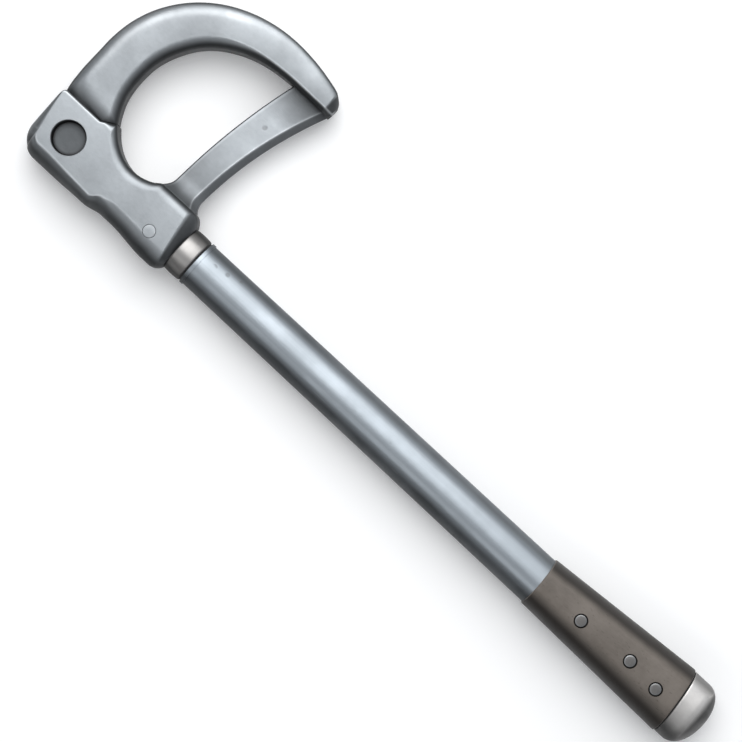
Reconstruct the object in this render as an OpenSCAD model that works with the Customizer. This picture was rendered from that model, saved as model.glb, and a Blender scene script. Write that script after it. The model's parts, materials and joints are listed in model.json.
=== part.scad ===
// Hand scythe with a hinged bow that closes over a fixed cutting bar.
// The tool lies on its back: +X runs along the shaft towards the grip,
// +Y points to the side the loop is on, and +Z is up, out of the front face.
// The origin is on the back face of the head, which is the resting plane, on the
// shaft's centre line and level with the lowest point of the loop. The sizes below are
// measured along the shaft from the joint of the ferrule and the tube, and in_frame()
// moves each piece from there to the origin.

/* [Head] */
// Thickness of the head from back face to front face
head_t = 31; // [30:1:34]
// Left end of the head
head_left = -120.2; // [-122:0.2:-119]
// Corner radius at the head's lower left
head_corner_r = 13; // [10:1:15]
// Straight top edge beside the bow's root
joint_y = 22; // [21:0.5:23]
// Top edge beside the blade's root
shoulder_y = 20; // [19:0.5:21]

/* [Bow] */
// Thickness of the bow
bow_t = 26; // [24:1:28]
// Rounding along the bow's edges
bow_round = 4.2; // [3:0.2:5]
// Angle that the bow swings open
open_max = 16; // [10:1:16]

/* [Pivot] */
// Centre of the pivot along the shaft
pivot_x = -99.2; // [-100:0.2:-98]
// Centre of the pivot across the shaft
pivot_y = 2.7; // [2:0.1:3.5]
// Radius of the hole through the cheeks and the eye
pivot_hole_r = 10; // [9:0.5:10.5]
// Thickness of the bow's tang between the cheeks
tang_t = 12; // [10:1:14]
// Thickness of the bow's neck, between the tang and the full bow
neck_t = 24.4; // [18:0.2:25]
// Depth that the pin is sunk below the front face
pin_sunk = 6; // [4:0.5:6.5]

/* [Blade] */
// Thickness of the cutting bar
blade_t = 8; // [6:1:9]
// Width of the ground bevel
bevel_w = 4.4; // [3:0.2:5]
// Radius of the pin that holds the blade's tang
blade_pin_r = 3.75; // [3:0.25:4]

/* [Shaft] */
// Outer radius of the tube at the head end
tube_r1 = 13.9; // [13.5:0.1:14.3]
// Outer radius of the tube at the grip end
tube_r2 = 14.9; // [14.4:0.1:15]
// Bore radius of the tube
tube_bore_r = 11; // [10:0.5:11.5]
// Outer radius of the ferrule
ferrule_r = 14.5; // [14.3:0.1:15]
// Where the tube meets the grip
tube_end = 266; // [260:1:268]

/* [Grip] */
// Far end of the grip along the shaft
grip_end = 369.5; // [366:0.5:372]
// Half width of the grip at its start
grip_w1 = 15.7; // [15.4:0.1:16]
// Half width of the grip at its far end
grip_w2 = 20.8; // [19:0.2:21]
// Overall end of the tool
cap_end = 391; // [388:1:394]
// Radius of a rivet's head
rivet_r = 3.45; // [3:0.05:3.6]
// Radius of the sunk hole around a rivet's head
rivet_sink_r = 4.2; // [4:0.1:4.4]

/* [Hidden] */

datum_x = -60;               // the origin, measured from the joint of ferrule and tube
zc = head_t / 2;             // centre plane of the whole tool
fit = 0.05;                  // radial clearance of pins and sleeves
gap = 0.4;                   // free play between parts that swing past each other
tube_in = 2;                 // depth of the pocket that the tube's end has in the grip
washer_t = 0.5;              // friction washers beside the bow's eye
slot_h = tang_t / 2 + washer_t + fit;   // half height of the slot around the eye
lip_h = neck_t / 2 + 0.5;               // half height of the slot around the neck
eye_r = 16;
neck_r = 18;                 // the neck stays outside this radius from the pivot
neck_low = 4.7;              // lowest the neck comes when the bow is open
cheek_corner = 3;            // rounding of the cheeks' upper left corner
steel = "LightSteelBlue";
bright = "Gainsboro";
dark = "DimGray";
wood = [0.38, 0.34, 0.31];

// ---- small helpers ---------------------------------------------------------

function clamp01(t) = min(1, max(0, t));
function ease(x, from, to) = let (t = clamp01((x - from) / (to - from))) t * t * (3 - 2 * t);
function mix(a, b, t) = a + (b - a) * t;
// How far a quarter round of this depth has dropped, t = 0 at the face and 1 at the rim
function round_drop(t, depth) = depth * (1 - sqrt(1 - pow(clamp01(t), 2)));
// Smooth curve through rows of numbers, t counts rows
function catmull(rows, t) = let (
    n = len(rows) - 1,
    i = min(n - 1, floor(t)),
    u = t - i,
    a = rows[max(0, i - 1)], b = rows[i], c = rows[i + 1], d = rows[min(n, i + 2)]
) 0.5 * (2 * b + (c - a) * u + (2 * a - 5 * b + 4 * c - d) * u * u
         + (3 * b - a - 3 * c + d) * u * u * u);

// Points from one edge of a bar to the other: [distance, drop below the face]
function edge_points(w, ra, rb, depth_a, depth_b, steps, across) = concat(
    [for (k = [0:steps]) let (t = 90 * k / steps)
        [ra * (1 - cos(t)), depth_a * (1 - sin(t))]],
    [for (k = [1:across - 1]) [mix(ra, w - rb, k / across), 0]],
    [for (k = [steps:-1:0]) let (t = 90 * k / steps)
        [w - rb * (1 - cos(t)), depth_b * (1 - sin(t))]]
);

// Closed ring of a bar's section between two rail points, half = half thickness list
function bar_ring(a, b, edge, half) = let (
    dir = (b - a) / norm(b - a),
    n = len(edge),
    pts = [for (e = edge) a + dir * e[0]]
) concat(
    [for (k = [0:n - 1]) [pts[k].x, pts[k].y, zc + max(0.4, half[k] - edge[k][1])]],
    [for (k = [n - 1:-1:0]) [pts[k].x, pts[k].y, zc - max(0.4, half[k] - edge[k][1])]]
);

// Closed solid through rings that all have the same number of points; flip turns it
// the right way out when the rings run the other way round
module skin(rings, flip = false) {
    m = len(rings[0]);
    n = len(rings);
    last_j = m - 1;
    sides = [for (i = [0:n - 2], j = [0:m - 1]) let (
        a = i * m + j, b = i * m + (j + 1) % m, c = a + m, d = b + m
    ) each [[a, c, b], [b, c, d]]];
    first = [for (j = [1:m - 2]) [0, j, j + 1]];
    last = [for (j = [1:m - 2]) [(n - 1) * m, (n - 1) * m + j + 1, (n - 1) * m + j]];
    polyhedron(points = [for (r = rings, j = [0:last_j]) r[flip ? last_j - j : j]],
        faces = concat(sides, first, last), convexity = 6);
}

module in_frame() {
    translate([-datum_x, 0, 0]) children();
}

// Cylinder along the shaft from x1 to x2
module shaft_cyl(x1, x2, r1, r2, y = 0) {
    translate([x1, y, zc]) rotate([0, 90, 0]) cylinder(h = x2 - x1, r1 = r1, r2 = r2, $fn = 96);
}

// Upright cylinder at a point of the plan
module pin_cyl(x, y, z1, z2, r) {
    translate([x, y, z1]) cylinder(h = z2 - z1, r = r, $fn = 64);
}

// ---- head ------------------------------------------------------------------

head_right = -11.8;
loop_low = [-60.1, 13.7];    // lowest point of the loop
loop_a = 32.6;               // half axes of the loop's lower left quarter
loop_b = 37.8;
loop_r = 27;                 // radius of the loop's lower right
rise_x = -92.5;              // where the top edge starts to rise towards the loop
rise_end = -84.2;
rise = 0.6;                  // its slope

function loop_right(x) = loop_low.y + loop_r - sqrt(loop_r * loop_r - pow(x - loop_low.x, 2));
function head_top(x) =
    x < head_left + cheek_corner ? joint_y - cheek_corner
        + sqrt(max(0, pow(cheek_corner, 2) - pow(x - head_left - cheek_corner, 2)))
    : x < rise_x ? joint_y
    : x < rise_end ? joint_y + (x - rise_x) * rise
    : x < loop_low.x ? loop_low.y + loop_b
        - loop_b * pow(1 - pow((loop_low.x - x) / loop_a, 1.9), 1 / 1.9)
    : x < -40 ? mix(loop_right(x), shoulder_y, ease(x, -47, -40))
    : shoulder_y - 5.2 * pow(clamp01((x + 18) / 6.2), 2);
function head_bottom(x) = let (low = -19.6, arc_x = head_left + head_corner_r)
    x < arc_x ? low + head_corner_r - sqrt(max(0, head_corner_r * head_corner_r - pow(x - arc_x, 2)))
    : low + 0.5 * ease(x, -90, -72) + 2.1 * ease(x, -69, -57) - 2.3 * ease(x, -50, -24)
        + 4.3 * pow(clamp01((x + 18) / 6.2), 2);
function head_round_low(x) = 3.8 + 3 * ease(x, -117, -104) + ease(x, -76, -64);
function head_round_top(x) = 1.2 + 3 * ease(x, -90, -80) - 2 * ease(x, -54, -44);
// Half thickness: rounded off at the left end, and along a slanted line at the right end
function head_half(p) = let (
    face_end = -18 - 0.19 * p.y,
    left = round_drop((head_left + 3.6 - p.x) / 3.6, 3.6),
    right = round_drop((p.x - face_end) / (head_right - face_end + 0.3), 5)
) head_t / 2 + 0.3 - left - right;

module head_forging() {
    xs = [head_left, -119.9, -119.2, -118.2, -116.6, -114, -111, -107, -102, -97, rise_x, -90,
        -87.5, rise_end, -82.5, -80, -76, -72, -68, -64, -60, -56, -52, -49, -47, -45, -43.5, -42,
        -40, -34, -28, -24, -21, -19, -17, -15, -13.5, -12.5, head_right];
    rings = [for (x = xs) let (
        a = [x, head_bottom(x)],
        b = [x, head_top(x)],
        lo = head_round_low(x), hi = head_round_top(x),
        edge = edge_points(b.y - a.y, lo, hi, lo, hi, 4, 5)
    ) bar_ring(a, b, edge, [for (e = edge) head_half([x, a.y + e[0]])])];
    intersection() {
        skin(rings, flip = true);
        translate([-140, -40, 0]) cube([160, 90, head_t]);
    }
}

// Room for the bow's neck between the cheeks, open at the top and the left
module neck_slot_plan() {
    polygon([[-130, pivot_y - 4], [pivot_x, pivot_y - 4], [-82.9, 6], [-89.6, 28], [-89.6, 40],
        [-130, 40]]);
}
module tang_slot() {
    translate([0, 0, zc - slot_h]) linear_extrude(2 * slot_h) {
        translate([pivot_x, pivot_y]) circle(r = eye_r + 0.6, $fn = 96);
        neck_slot_plan();
    }
    // Wider above and beside the eye, where the neck swings; the neck stays above neck_low
    translate([0, 0, zc - lip_h]) linear_extrude(2 * lip_h) difference() {
        neck_slot_plan();
        translate([pivot_x, pivot_y]) circle(r = neck_r, $fn = 96);
        translate([-131, neck_low - 10]) square([20, 10]);
    }
}

mortise = [-38.5, -21.5];    // blade tang from left to right
mortise_y = -11;
blade_pin_at = [-30, -4.9];

module head() {
    color(steel) in_frame() difference() {
        union() {
            head_forging();
            shaft_cyl(head_right - 4, 40, tube_bore_r - fit, tube_bore_r - fit);
        }
        tang_slot();
        pin_cyl(pivot_x, pivot_y, -1, head_t + 1, pivot_hole_r);
        translate([mortise[0] - fit, mortise_y - fit, zc - blade_t / 2])
            cube([mortise[1] - mortise[0] + 2 * fit, 40, blade_t]);
        pin_cyl(blade_pin_at.x, blade_pin_at.y, -1, head_t + 1, blade_pin_r + fit);
    }
}

// ---- bow -------------------------------------------------------------------

// Angle about bow_pole, inner radius, outer radius
bow_pole = [-46, 49.5];
bow_rows = [
    [210, 44.6, 80], [200, 45.3, 78.4], [190, 46.1, 76.2], [180, 46.7, 75.1], [170, 47.6, 76],
    [160, 49, 77.3], [150, 50.2, 78.3], [140, 51.6, 79], [130, 53.3, 79.5], [120, 54.8, 79.8],
    [110, 56.2, 80], [100, 57.9, 80.4], [90, 59.8, 81], [80, 62.2, 81.8], [70, 65.6, 83.5],
    [63, 69.2, 85.3]
];
// Rail points of the rounded nose: inner x, inner y, outer x, outer y
nose_rows = [
    [-9, 111, -5.9, 125], [-5.2, 110.9, -5, 124.4], [-4.9, 110.9, -4.7, 124.2], [-3.2, 110.9, -3, 123],
    [-1.6, 110.9, -1.3, 121.2], [-0.4, 111, 0.1, 118.4]
];
nose_face_end = -5;
blade_slot_top = 114;

function polar(r, a) = bow_pole + r * [cos(a), sin(a)];
function bow_pair(t) = let (row = catmull(bow_rows, t)) [polar(row[1], row[0]), polar(row[2], row[0])];

// Distance from the pivot to the head's top edge, in a direction
function cheek_edge(phi) = let (
    flat = joint_y - pivot_y, left = pivot_x - head_left, run = rise_x - pivot_x
) phi < atan2(flat, run) ? (flat - rise * run) / (sin(phi) - rise * cos(phi))
    : phi < atan2(flat, -left) ? flat / sin(phi)
    : left / max(0.2, -cos(phi));
// The furthest that edge reaches while the bow swings, less what its corner is rounded
function swept_edge(phi) = let (
    corner = norm([pivot_x - head_left, joint_y - pivot_y]) - 0.3 * cheek_corner
) gap + max([for (k = [0:12]) let (r = cheek_edge(phi + open_max * k / 12))
    k == 0 ? r : min(r, corner)]);
// Half thickness: the neck's inside the swept edge, full beyond it
function bow_half(p) = let (
    d = p - [pivot_x, pivot_y],
    beyond = norm(d) - swept_edge(max(48, atan2(d.y, d.x))),
    near = d.y > 0 && p.x < -70,
    nose = 6.5 * clamp01((p.x - nose_face_end) / 5.2)
) (near ? mix(neck_t / 2, bow_t / 2 + 0.2, ease(beyond, 0.2, 5)) : bow_t / 2 + 0.2) - nose;

module bow_forging() {
    ts = concat([for (t = [0:0.25:3]) t], [for (t = [3.5:0.5:len(bow_rows) - 1]) t]);
    pairs = concat([for (t = ts) bow_pair(t)],
                   [for (r = nose_rows) [[r[0], r[1]], [r[2], r[3]]]]);
    rings = [for (i = [0:len(pairs) - 1]) let (
        p = pairs[i], w = norm(p[1] - p[0]),
        crisp = ease(i, 20, 34),
        ri = mix(bow_round, 2.6, crisp), ro = min(mix(bow_round, 3.2, crisp), w / 3),
        edge = edge_points(w, ri, ro, ri, ro, 4, 6),
        dir = (p[1] - p[0]) / w
    ) bar_ring(p[0], p[1], edge, [for (e = edge) bow_half(p[0] + dir * e[0])])];
    intersection() {
        skin(rings, flip = true);
        translate([-140, -10, zc - bow_t / 2]) cube([160, 160, bow_t]);
    }
}

module bow() {
    color(steel) in_frame() difference() {
        union() {
            difference() {
                bow_forging();
                pin_cyl(pivot_x, pivot_y, -1, head_t + 1, neck_r + gap);
            }
            translate([0, 0, zc - tang_t / 2]) linear_extrude(tang_t) {
                translate([pivot_x, pivot_y]) circle(r = eye_r, $fn = 96);
                polygon([[-119.2, 24], [-115.1, 4], [-90, -3], [-83.6, 6], [-90.4, 28], [-95, 36],
                    [-114, 36]]);
            }
        }
        pin_cyl(pivot_x, pivot_y, -1, head_t + 1, pivot_hole_r);
        translate([-28.5, 100, zc - blade_t / 2 - gap])
            cube([40, blade_slot_top - 100, blade_t + 2 * gap]);
    }
}

// ---- pivot -----------------------------------------------------------------

module pivot_pin() {
    color(dark) in_frame() pin_cyl(pivot_x, pivot_y, 0.3, head_t - pin_sunk, pivot_hole_r - fit);
}

module friction_washer(z) {
    color("Peru") in_frame() translate([pivot_x, pivot_y, z]) difference() {
        cylinder(h = washer_t, r = eye_r - 0.5, $fn = 96);
        translate([0, 0, -1]) cylinder(h = washer_t + 2, r = pivot_hole_r + 0.1, $fn = 96);
    }
}
module friction_washer_front() { friction_washer(zc + tang_t / 2 + fit); }
module friction_washer_back() { friction_washer(zc - slot_h); }

// ---- blade -----------------------------------------------------------------

blade_low = shoulder_y + 0.1;
blade_top = blade_slot_top - 0.7;

// Bowed edge: straight from low to high, pulled sideways by the sagitta, flared at the root
function bowed(y, low, high, sagitta, flare) = let (t = (y - 27) / 84)
    mix(low, high, t) - 4 * sagitta * t * (1 - t) + flare * pow(clamp01((27 - y) / 7), 2);
function blade_back(y) = bowed(y, -39.8, -27.2, 2.3, -3.2);
function blade_edge(y) = bowed(y, -20.3, -0.9, 4, 2.8);
function blade_half(y) = blade_t / 2 + 5.5 * pow(clamp01((27 - y) / 7), 2);

module blade() {
    ys = concat([blade_low, 21, 22, 23, 24, 25.5, 27], [for (y = [32:5:112]) y], [blade_top]);
    rings = [for (y = ys) let (
        a = [blade_back(y), y], w = blade_edge(y) - blade_back(y),
        edge = [[0, 0.8], [0.3, 0.25], [0.9, 0], [w / 2, 0], [w - bevel_w, 0], [w, blade_t / 2 - 0.5]]
    ) bar_ring(a, a + [w, 0], edge, [for (e = edge) blade_half(y)])];
    color("Silver") in_frame() difference() {
        union() {
            skin(rings);
            translate([mortise[0], mortise_y, zc - blade_t / 2 + fit])
                cube([mortise[1] - mortise[0], 25 - mortise_y, blade_t - 2 * fit]);
        }
        pin_cyl(blade_pin_at.x, blade_pin_at.y, -1, head_t + 1, blade_pin_r + fit);
    }
}

module blade_pin() {
    color(bright) in_frame() pin_cyl(blade_pin_at.x, blade_pin_at.y, 0.3, head_t + 0.1, blade_pin_r);
}

// ---- shaft -----------------------------------------------------------------

module sleeve(x1, x2, r1, r2) {
    difference() {
        shaft_cyl(x1, x2, r1, r2);
        shaft_cyl(x1 - 1, x2 + 1, tube_bore_r, tube_bore_r);
    }
}

module ferrule() {
    color(bright) in_frame() {
        sleeve(head_right, -1.4, ferrule_r, ferrule_r);
        sleeve(-1.4, -0.6, ferrule_r, ferrule_r - 0.5);
    }
}
module seal_washer() { color("Black") in_frame() sleeve(-0.6, 0.6, ferrule_r - 1.1, ferrule_r - 1.1); }
module shaft_tube() {
    color(steel) in_frame() union() {
        sleeve(0.6, 2.8, ferrule_r, ferrule_r);
        sleeve(2.8, tube_end + tube_in - gap / 4, tube_r1, tube_r2);
    }
}

// ---- grip ------------------------------------------------------------------

rivets = [[298.2, 0], [334, 2.2], [355.3, 0.4]];
tang_tilt = 1.85;            // the grip leans a little to the loop's side
grip_lean = 3;               // offset of the grip's centre at its far end
tang_bar_t = 6;
tang_bar_w = 22;
stud_r = 4;
stud_x = grip_end - 4;       // the stud starts inside the tang's far end
cap_gap = 0.8;               // thickness of the washer under the cap

function grip_t(x) = clamp01((x - tube_end) / (grip_end - tube_end));
function grip_mid(x) = grip_lean * grip_t(x);
function grip_w(x) = mix(grip_w1, grip_w2, grip_t(x));
// Section with soft corners; both ends lean, the far end more
function grip_ring(x, w, h, lean) = let (steps = 32)
    [for (k = [0:steps - 1]) let (
        a = 360 * k / steps,
        dy = w * sign(cos(a)) * pow(abs(cos(a)), 0.88),
        dz = h * sign(sin(a)) * pow(abs(sin(a)), 0.88)
    ) [x - lean * dy, grip_mid(x) + dy, zc + dz]];
function grip_slant(x) = mix(0.05, 0.12, grip_t(x));

module grip_body() {
    skin([for (k = [0:8]) let (x = mix(tube_end + 0.9, grip_end, k / 8))
        grip_ring(x, grip_w(x), zc, grip_slant(x))]);
}

module tang_bar(extra) {
    translate([tube_end, 0, zc]) rotate([0, 0, tang_tilt])
        translate([tube_in, -tang_bar_w / 2 - extra, -tang_bar_t / 2 - extra])
            cube([stud_x + 1 - tube_end - tube_in + extra, tang_bar_w + 2 * extra, tang_bar_t + 2 * extra]);
}

module rivet_hole(at, r, front_r, back_r) {
    pin_cyl(at.x, at.y, -1, head_t + 1, r);
    pin_cyl(at.x, at.y, head_t - 3, head_t + 1, front_r);
    pin_cyl(at.x, at.y, -1, 3, back_r);
}

module grip_scale(side) {
    color(wood) in_frame() difference() {
        intersection() {
            grip_body();
            translate([200, -40, zc + (side > 0 ? 0.02 : -40.02)]) cube([200, 80, 40]);
        }
        tang_bar(fit);
        shaft_cyl(tube_end - 10, tube_end + tube_in, tube_r2 + 0.2, tube_r2 + 0.2);
        shaft_cyl(stud_x - fit, grip_end + 10, stud_r, stud_r, grip_lean);
        for (at = rivets) rivet_hole(at, 3.1, rivet_sink_r, rivet_sink_r);
    }
}
module grip_scale_front() { grip_scale(1); }
module grip_scale_back() { grip_scale(-1); }

module grip_tang() {
    color("SlateGray") in_frame() difference() {
        union() {
            shaft_cyl(226, tube_end + tube_in, tube_bore_r - fit, tube_bore_r - fit);
            tang_bar(0);
            shaft_cyl(stud_x, cap_end - 8, stud_r - fit, stud_r - fit, grip_lean);
        }
        for (at = rivets) pin_cyl(at.x, at.y, -1, head_t + 1, 3.1);
    }
}

// Two-piece rivets: the post goes in from the front, the cap with its sleeve from the back
module rivet_post(i) {
    at = rivets[i];
    color(bright) in_frame() {
        pin_cyl(at.x, at.y, head_t - 2.9, head_t - 0.35, rivet_r);
        pin_cyl(at.x, at.y, 6, head_t - 2.8, 2);
    }
}
module rivet_cap(i) {
    at = rivets[i];
    color(bright) in_frame() difference() {
        union() {
            pin_cyl(at.x, at.y, 0.35, 2.9, rivet_r);
            pin_cyl(at.x, at.y, 2.8, head_t - 6, 3);
        }
        pin_cyl(at.x, at.y, 4, head_t, 2 + fit);
    }
}
module rivet_post_1() { rivet_post(0); }
module rivet_post_2() { rivet_post(1); }
module rivet_post_3() { rivet_post(2); }
module rivet_cap_1() { rivet_cap(0); }
module rivet_cap_2() { rivet_cap(1); }
module rivet_cap_3() { rivet_cap(2); }

module cap_washer() {
    color("Black") in_frame() difference() {
        skin([for (x = [grip_end + 0.02, grip_end + cap_gap - 0.02])
            grip_ring(x, grip_w2 - 1.2, zc - 1.2, 0.12)]);
        shaft_cyl(grip_end - 10, grip_end + 10, stud_r, stud_r, grip_lean);
        translate([grip_end - 20, grip_lean - 12, zc - 4]) cube([19.3, 24, 8]);
    }
}

module end_cap() {
    side = grip_end + cap_gap;
    dome = 378.5;
    depth = cap_end - dome;
    color("WhiteSmoke") in_frame() difference() {
        skin(concat(
            [for (k = [0:2]) let (t = k / 2)
                grip_ring(mix(side, dome, t), 20.2, zc - 0.3, mix(0.12, 0, t))],
            [for (a = [15:15:75]) grip_ring(dome + depth * pow(sin(a), 0.95),
                20.2 * pow(cos(a), 0.95), (zc - 0.3) * pow(cos(a), 0.95), 0)],
            [grip_ring(cap_end, 2, 1.5, 0)]
        ));
        shaft_cyl(grip_end - 10, cap_end - 7, stud_r, stud_r, grip_lean);
    }
}

head();
bow();
pivot_pin();
friction_washer_front();
friction_washer_back();
blade();
blade_pin();
ferrule();
seal_washer();
shaft_tube();
grip_tang();
grip_scale_front();
grip_scale_back();
rivet_post_1();
rivet_post_2();
rivet_post_3();
rivet_cap_1();
rivet_cap_2();
rivet_cap_3();
cap_washer();
end_cap();
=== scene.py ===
"""Looks of the hand scythe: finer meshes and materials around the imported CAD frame."""
import json
import math

import bmesh
import bpy
import numpy as np
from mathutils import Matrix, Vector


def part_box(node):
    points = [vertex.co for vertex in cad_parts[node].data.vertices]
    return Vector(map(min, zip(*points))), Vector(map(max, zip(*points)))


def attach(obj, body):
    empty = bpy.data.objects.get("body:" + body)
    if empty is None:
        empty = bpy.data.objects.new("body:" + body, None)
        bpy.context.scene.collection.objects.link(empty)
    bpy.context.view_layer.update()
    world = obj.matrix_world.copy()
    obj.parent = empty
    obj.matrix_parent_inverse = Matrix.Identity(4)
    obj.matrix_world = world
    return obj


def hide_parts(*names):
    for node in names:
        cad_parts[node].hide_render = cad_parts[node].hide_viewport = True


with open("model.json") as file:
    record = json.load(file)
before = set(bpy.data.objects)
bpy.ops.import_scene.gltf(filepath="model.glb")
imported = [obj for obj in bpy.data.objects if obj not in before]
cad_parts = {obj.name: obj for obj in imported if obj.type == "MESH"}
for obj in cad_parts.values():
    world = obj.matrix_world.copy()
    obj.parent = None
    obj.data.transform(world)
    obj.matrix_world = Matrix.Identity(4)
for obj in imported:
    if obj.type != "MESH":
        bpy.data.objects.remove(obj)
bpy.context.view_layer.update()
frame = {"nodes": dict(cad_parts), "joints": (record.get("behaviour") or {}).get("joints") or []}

MM = 0.001
joint = frame["joints"][0]
PIVOT = np.array(joint["pos_m"][:2]) / MM
ZC = joint["pos_m"][2] / MM
# Lengths below run along the shaft from the joint of ferrule and tube, as in the CAD
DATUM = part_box("shaft_tube")[0].x / MM - 0.6
PIVOT[0] -= DATUM
HEAD_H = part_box("head")[1].z / MM / 2
BOW_H = (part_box("bow")[1].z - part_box("bow")[0].z) / MM / 2


# ---- numbers and curves ------------------------------------------------------

def clamp01(t):
    return np.clip(t, 0.0, 1.0)


def ease(x, start, end):
    t = clamp01((np.asarray(x, float) - start) / (end - start))
    return t * t * (3 - 2 * t)


def mix(a, b, t):
    return a + (b - a) * t


def round_drop(t, depth):
    """Drop over a quarter round edge, t from the face to the rim."""
    return depth * (1 - np.sqrt(1 - clamp01(t) ** 2))


def bent_drop(t, depth, crisp):
    """Drop over a rounded (crisp 0) or chamfered (crisp 1) edge, t from the face to the rim."""
    return mix(round_drop(t, depth), depth * clamp01(t), crisp)


def catmull(rows, t):
    """Smooth curve through rows of numbers, where t counts rows."""
    n = len(rows) - 1
    i = min(n - 1, int(t))
    u = t - i
    a, b, c, d = rows[max(0, i - 1)], rows[i], rows[i + 1], rows[min(n, i + 2)]
    return 0.5 * (2 * b + (c - a) * u + (2 * a - 5 * b + 4 * c - d) * u ** 2
                  + (3 * b - a - 3 * c + d) * u ** 3)


def edge_profile(radius, depth, crisp, scale, steps=16):
    """Edge of a bar from its side wall up to its face: distance in, drop and painted shade.
    crisp is 0 for a rounded edge and 1 for a chamfer, scale is how far its painted shade reaches."""
    t = np.linspace(0, 1, steps)
    turn = t * math.pi / 2
    s = radius * mix(1 - np.cos(turn), t, crisp)
    drop = depth * mix(1 - np.sin(turn), 1 - t, crisp)
    return s, drop, ease(1 - s / scale, 0.0, mix(0.85, 0.3, crisp))


# Extra stations on a bar's face, close to where its rounded edges begin
NEAR_EDGE = np.array([0.3, 0.7, 1.3, 2.2])
# Width of a light edge line, partly wear and partly painted highlight, and the place and width
# of the painted highlight band inside the high edge
WEAR_AND_GLINT_W, BAND_IN, BAND_W = 0.6, 5.5, 2.8


def bar_ring(a, b, low, high, surface, crown=0.0, highlight_band=0.0, across=22):
    """Section of a bar between rail points a and b. low and high are (radius, depth,
    crisp, scale) of its two edges, surface gives the half thickness and the painted shade at
    points, crown is how much lower the face is at its sides than in its middle, and the argument
    after crown is how light a painted highlight band inside the high edge is. A ring's points are
    x, y, z, tone (1 is full painted shade) and rim (1 is a light edge line, partly wear and partly
    painted highlight)."""
    width = np.linalg.norm(b - a)
    s_low, drop_low, tone_low = edge_profile(*low)
    s_high, drop_high, tone_high = edge_profile(*high)
    span = width - low[0] - high[0]
    near = NEAR_EDGE * min(1, span / 12)
    s_mid = low[0] + np.concatenate([near, np.linspace(near[-1], span - near[-1], across)[1:-1],
                                     span - near[::-1]])
    flat = np.zeros(len(s_mid))
    s = np.concatenate([s_low, s_mid, width - s_high[::-1]])
    drop = np.concatenate([drop_low, flat, drop_high[::-1]])
    # Painted shade over the rounded edges, none on the face
    tone = np.concatenate([tone_low, flat, tone_high[::-1]])
    # Light edge lines, partly wear and partly painted highlight, and a painted highlight band
    rim = (low[2] * np.exp(-((s - low[0]) / WEAR_AND_GLINT_W) ** 2)
           + high[2] * np.exp(-((width - s - high[0]) / WEAR_AND_GLINT_W) ** 2)
           + highlight_band * np.exp(-((width - s - BAND_IN) / BAND_W) ** 2))
    xy = a + s[:, None] * (b - a) / width
    half, dark = surface(xy[:, 0], xy[:, 1])
    h = np.maximum(0.4, half - drop - crown * (2 * s / width - 1) ** 2)
    marks = np.column_stack([np.maximum(tone, dark), rim])
    front = np.column_stack([xy, ZC + h, marks])
    back = np.column_stack([xy, ZC - h, marks])[::-1]
    return np.concatenate([front, back])


# ---- meshes ------------------------------------------------------------------

def new_object(name, mesh, body, slot, *nodes):
    """Finished piece: shaded smooth with sharp creases, riding on its body."""
    mesh.shade_smooth()
    mesh.set_sharp_from_angle(angle=math.radians(38))
    obj = bpy.data.objects.new(name, mesh)
    bpy.context.scene.collection.objects.link(obj)
    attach(obj, body)
    if nodes:
        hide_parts(*nodes)
    return obj


def skin_mesh(name, rings, tone=0.0):
    """Closed mesh through rings that all have the same number of points; rings without
    marks get one tone all over. Tone and rim are kept as face corner attributes."""
    rings = np.asarray(rings, float)
    n, m, depth = rings.shape
    points = rings.reshape(-1, depth)
    if depth == 3:
        points = np.column_stack([points, np.full(n * m, tone), np.zeros(n * m)])
    places = points[:, :3] + (DATUM, 0, 0)
    faces = []
    for i in range(n - 1):
        for j in range(m):
            a, b = i * m + j, i * m + (j + 1) % m
            faces.append((a, b, b + m, a + m))
    faces.append(tuple(range(m - 1, -1, -1)))
    faces.append(tuple(range((n - 1) * m, n * m)))
    mesh = bpy.data.meshes.new(name)
    mesh.from_pydata((places * MM).tolist(), [], faces)
    bm = bmesh.new()
    bm.from_mesh(mesh)
    bmesh.ops.recalc_face_normals(bm, faces=bm.faces)
    bm.to_mesh(mesh)
    bm.free()
    corners = np.empty(len(mesh.loops), int)
    mesh.loops.foreach_get("vertex_index", corners)
    for column, mark in ((3, "tone"), (4, "rim")):
        layer = mesh.attributes.new(mark, "FLOAT", "CORNER")
        layer.data.foreach_set("value", points[corners, column].astype(np.float32))
    return mesh


def lathe_mesh(name, profile, centre, axis="z", segments=96):
    """Turned solid: profile rows are (along, radius, tone, rim) from one end to the other."""
    angles = np.linspace(0, 2 * math.pi, segments, endpoint=False)
    rings = []
    for along, radius, tone, rim in profile:
        u, v = radius * np.cos(angles), radius * np.sin(angles)
        w = np.full(segments, along)
        cols = (u, v, w) if axis == "z" else (w, u, v)
        rings.append(np.column_stack([np.column_stack(cols) + centre,
                                      np.full(segments, tone), np.full(segments, rim)]))
    return skin_mesh(name, rings)


def plate_mesh(name, outline, z_low, z_high, tone=1.0):
    """Upright prism over a closed outline; as a cutter, its tone (1 unless given) is painted shade
    on the walls it leaves.
    """
    flat = np.asarray(outline, float)
    rings = [np.column_stack([flat, np.full(len(flat), z)]) for z in (z_low, z_high)]
    return skin_mesh(name, rings, tone)


def circle(centre, radius, segments=128):
    a = np.linspace(0, 2 * math.pi, segments, endpoint=False)
    return np.column_stack([centre[0] + radius * np.cos(a), centre[1] + radius * np.sin(a)])


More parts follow.
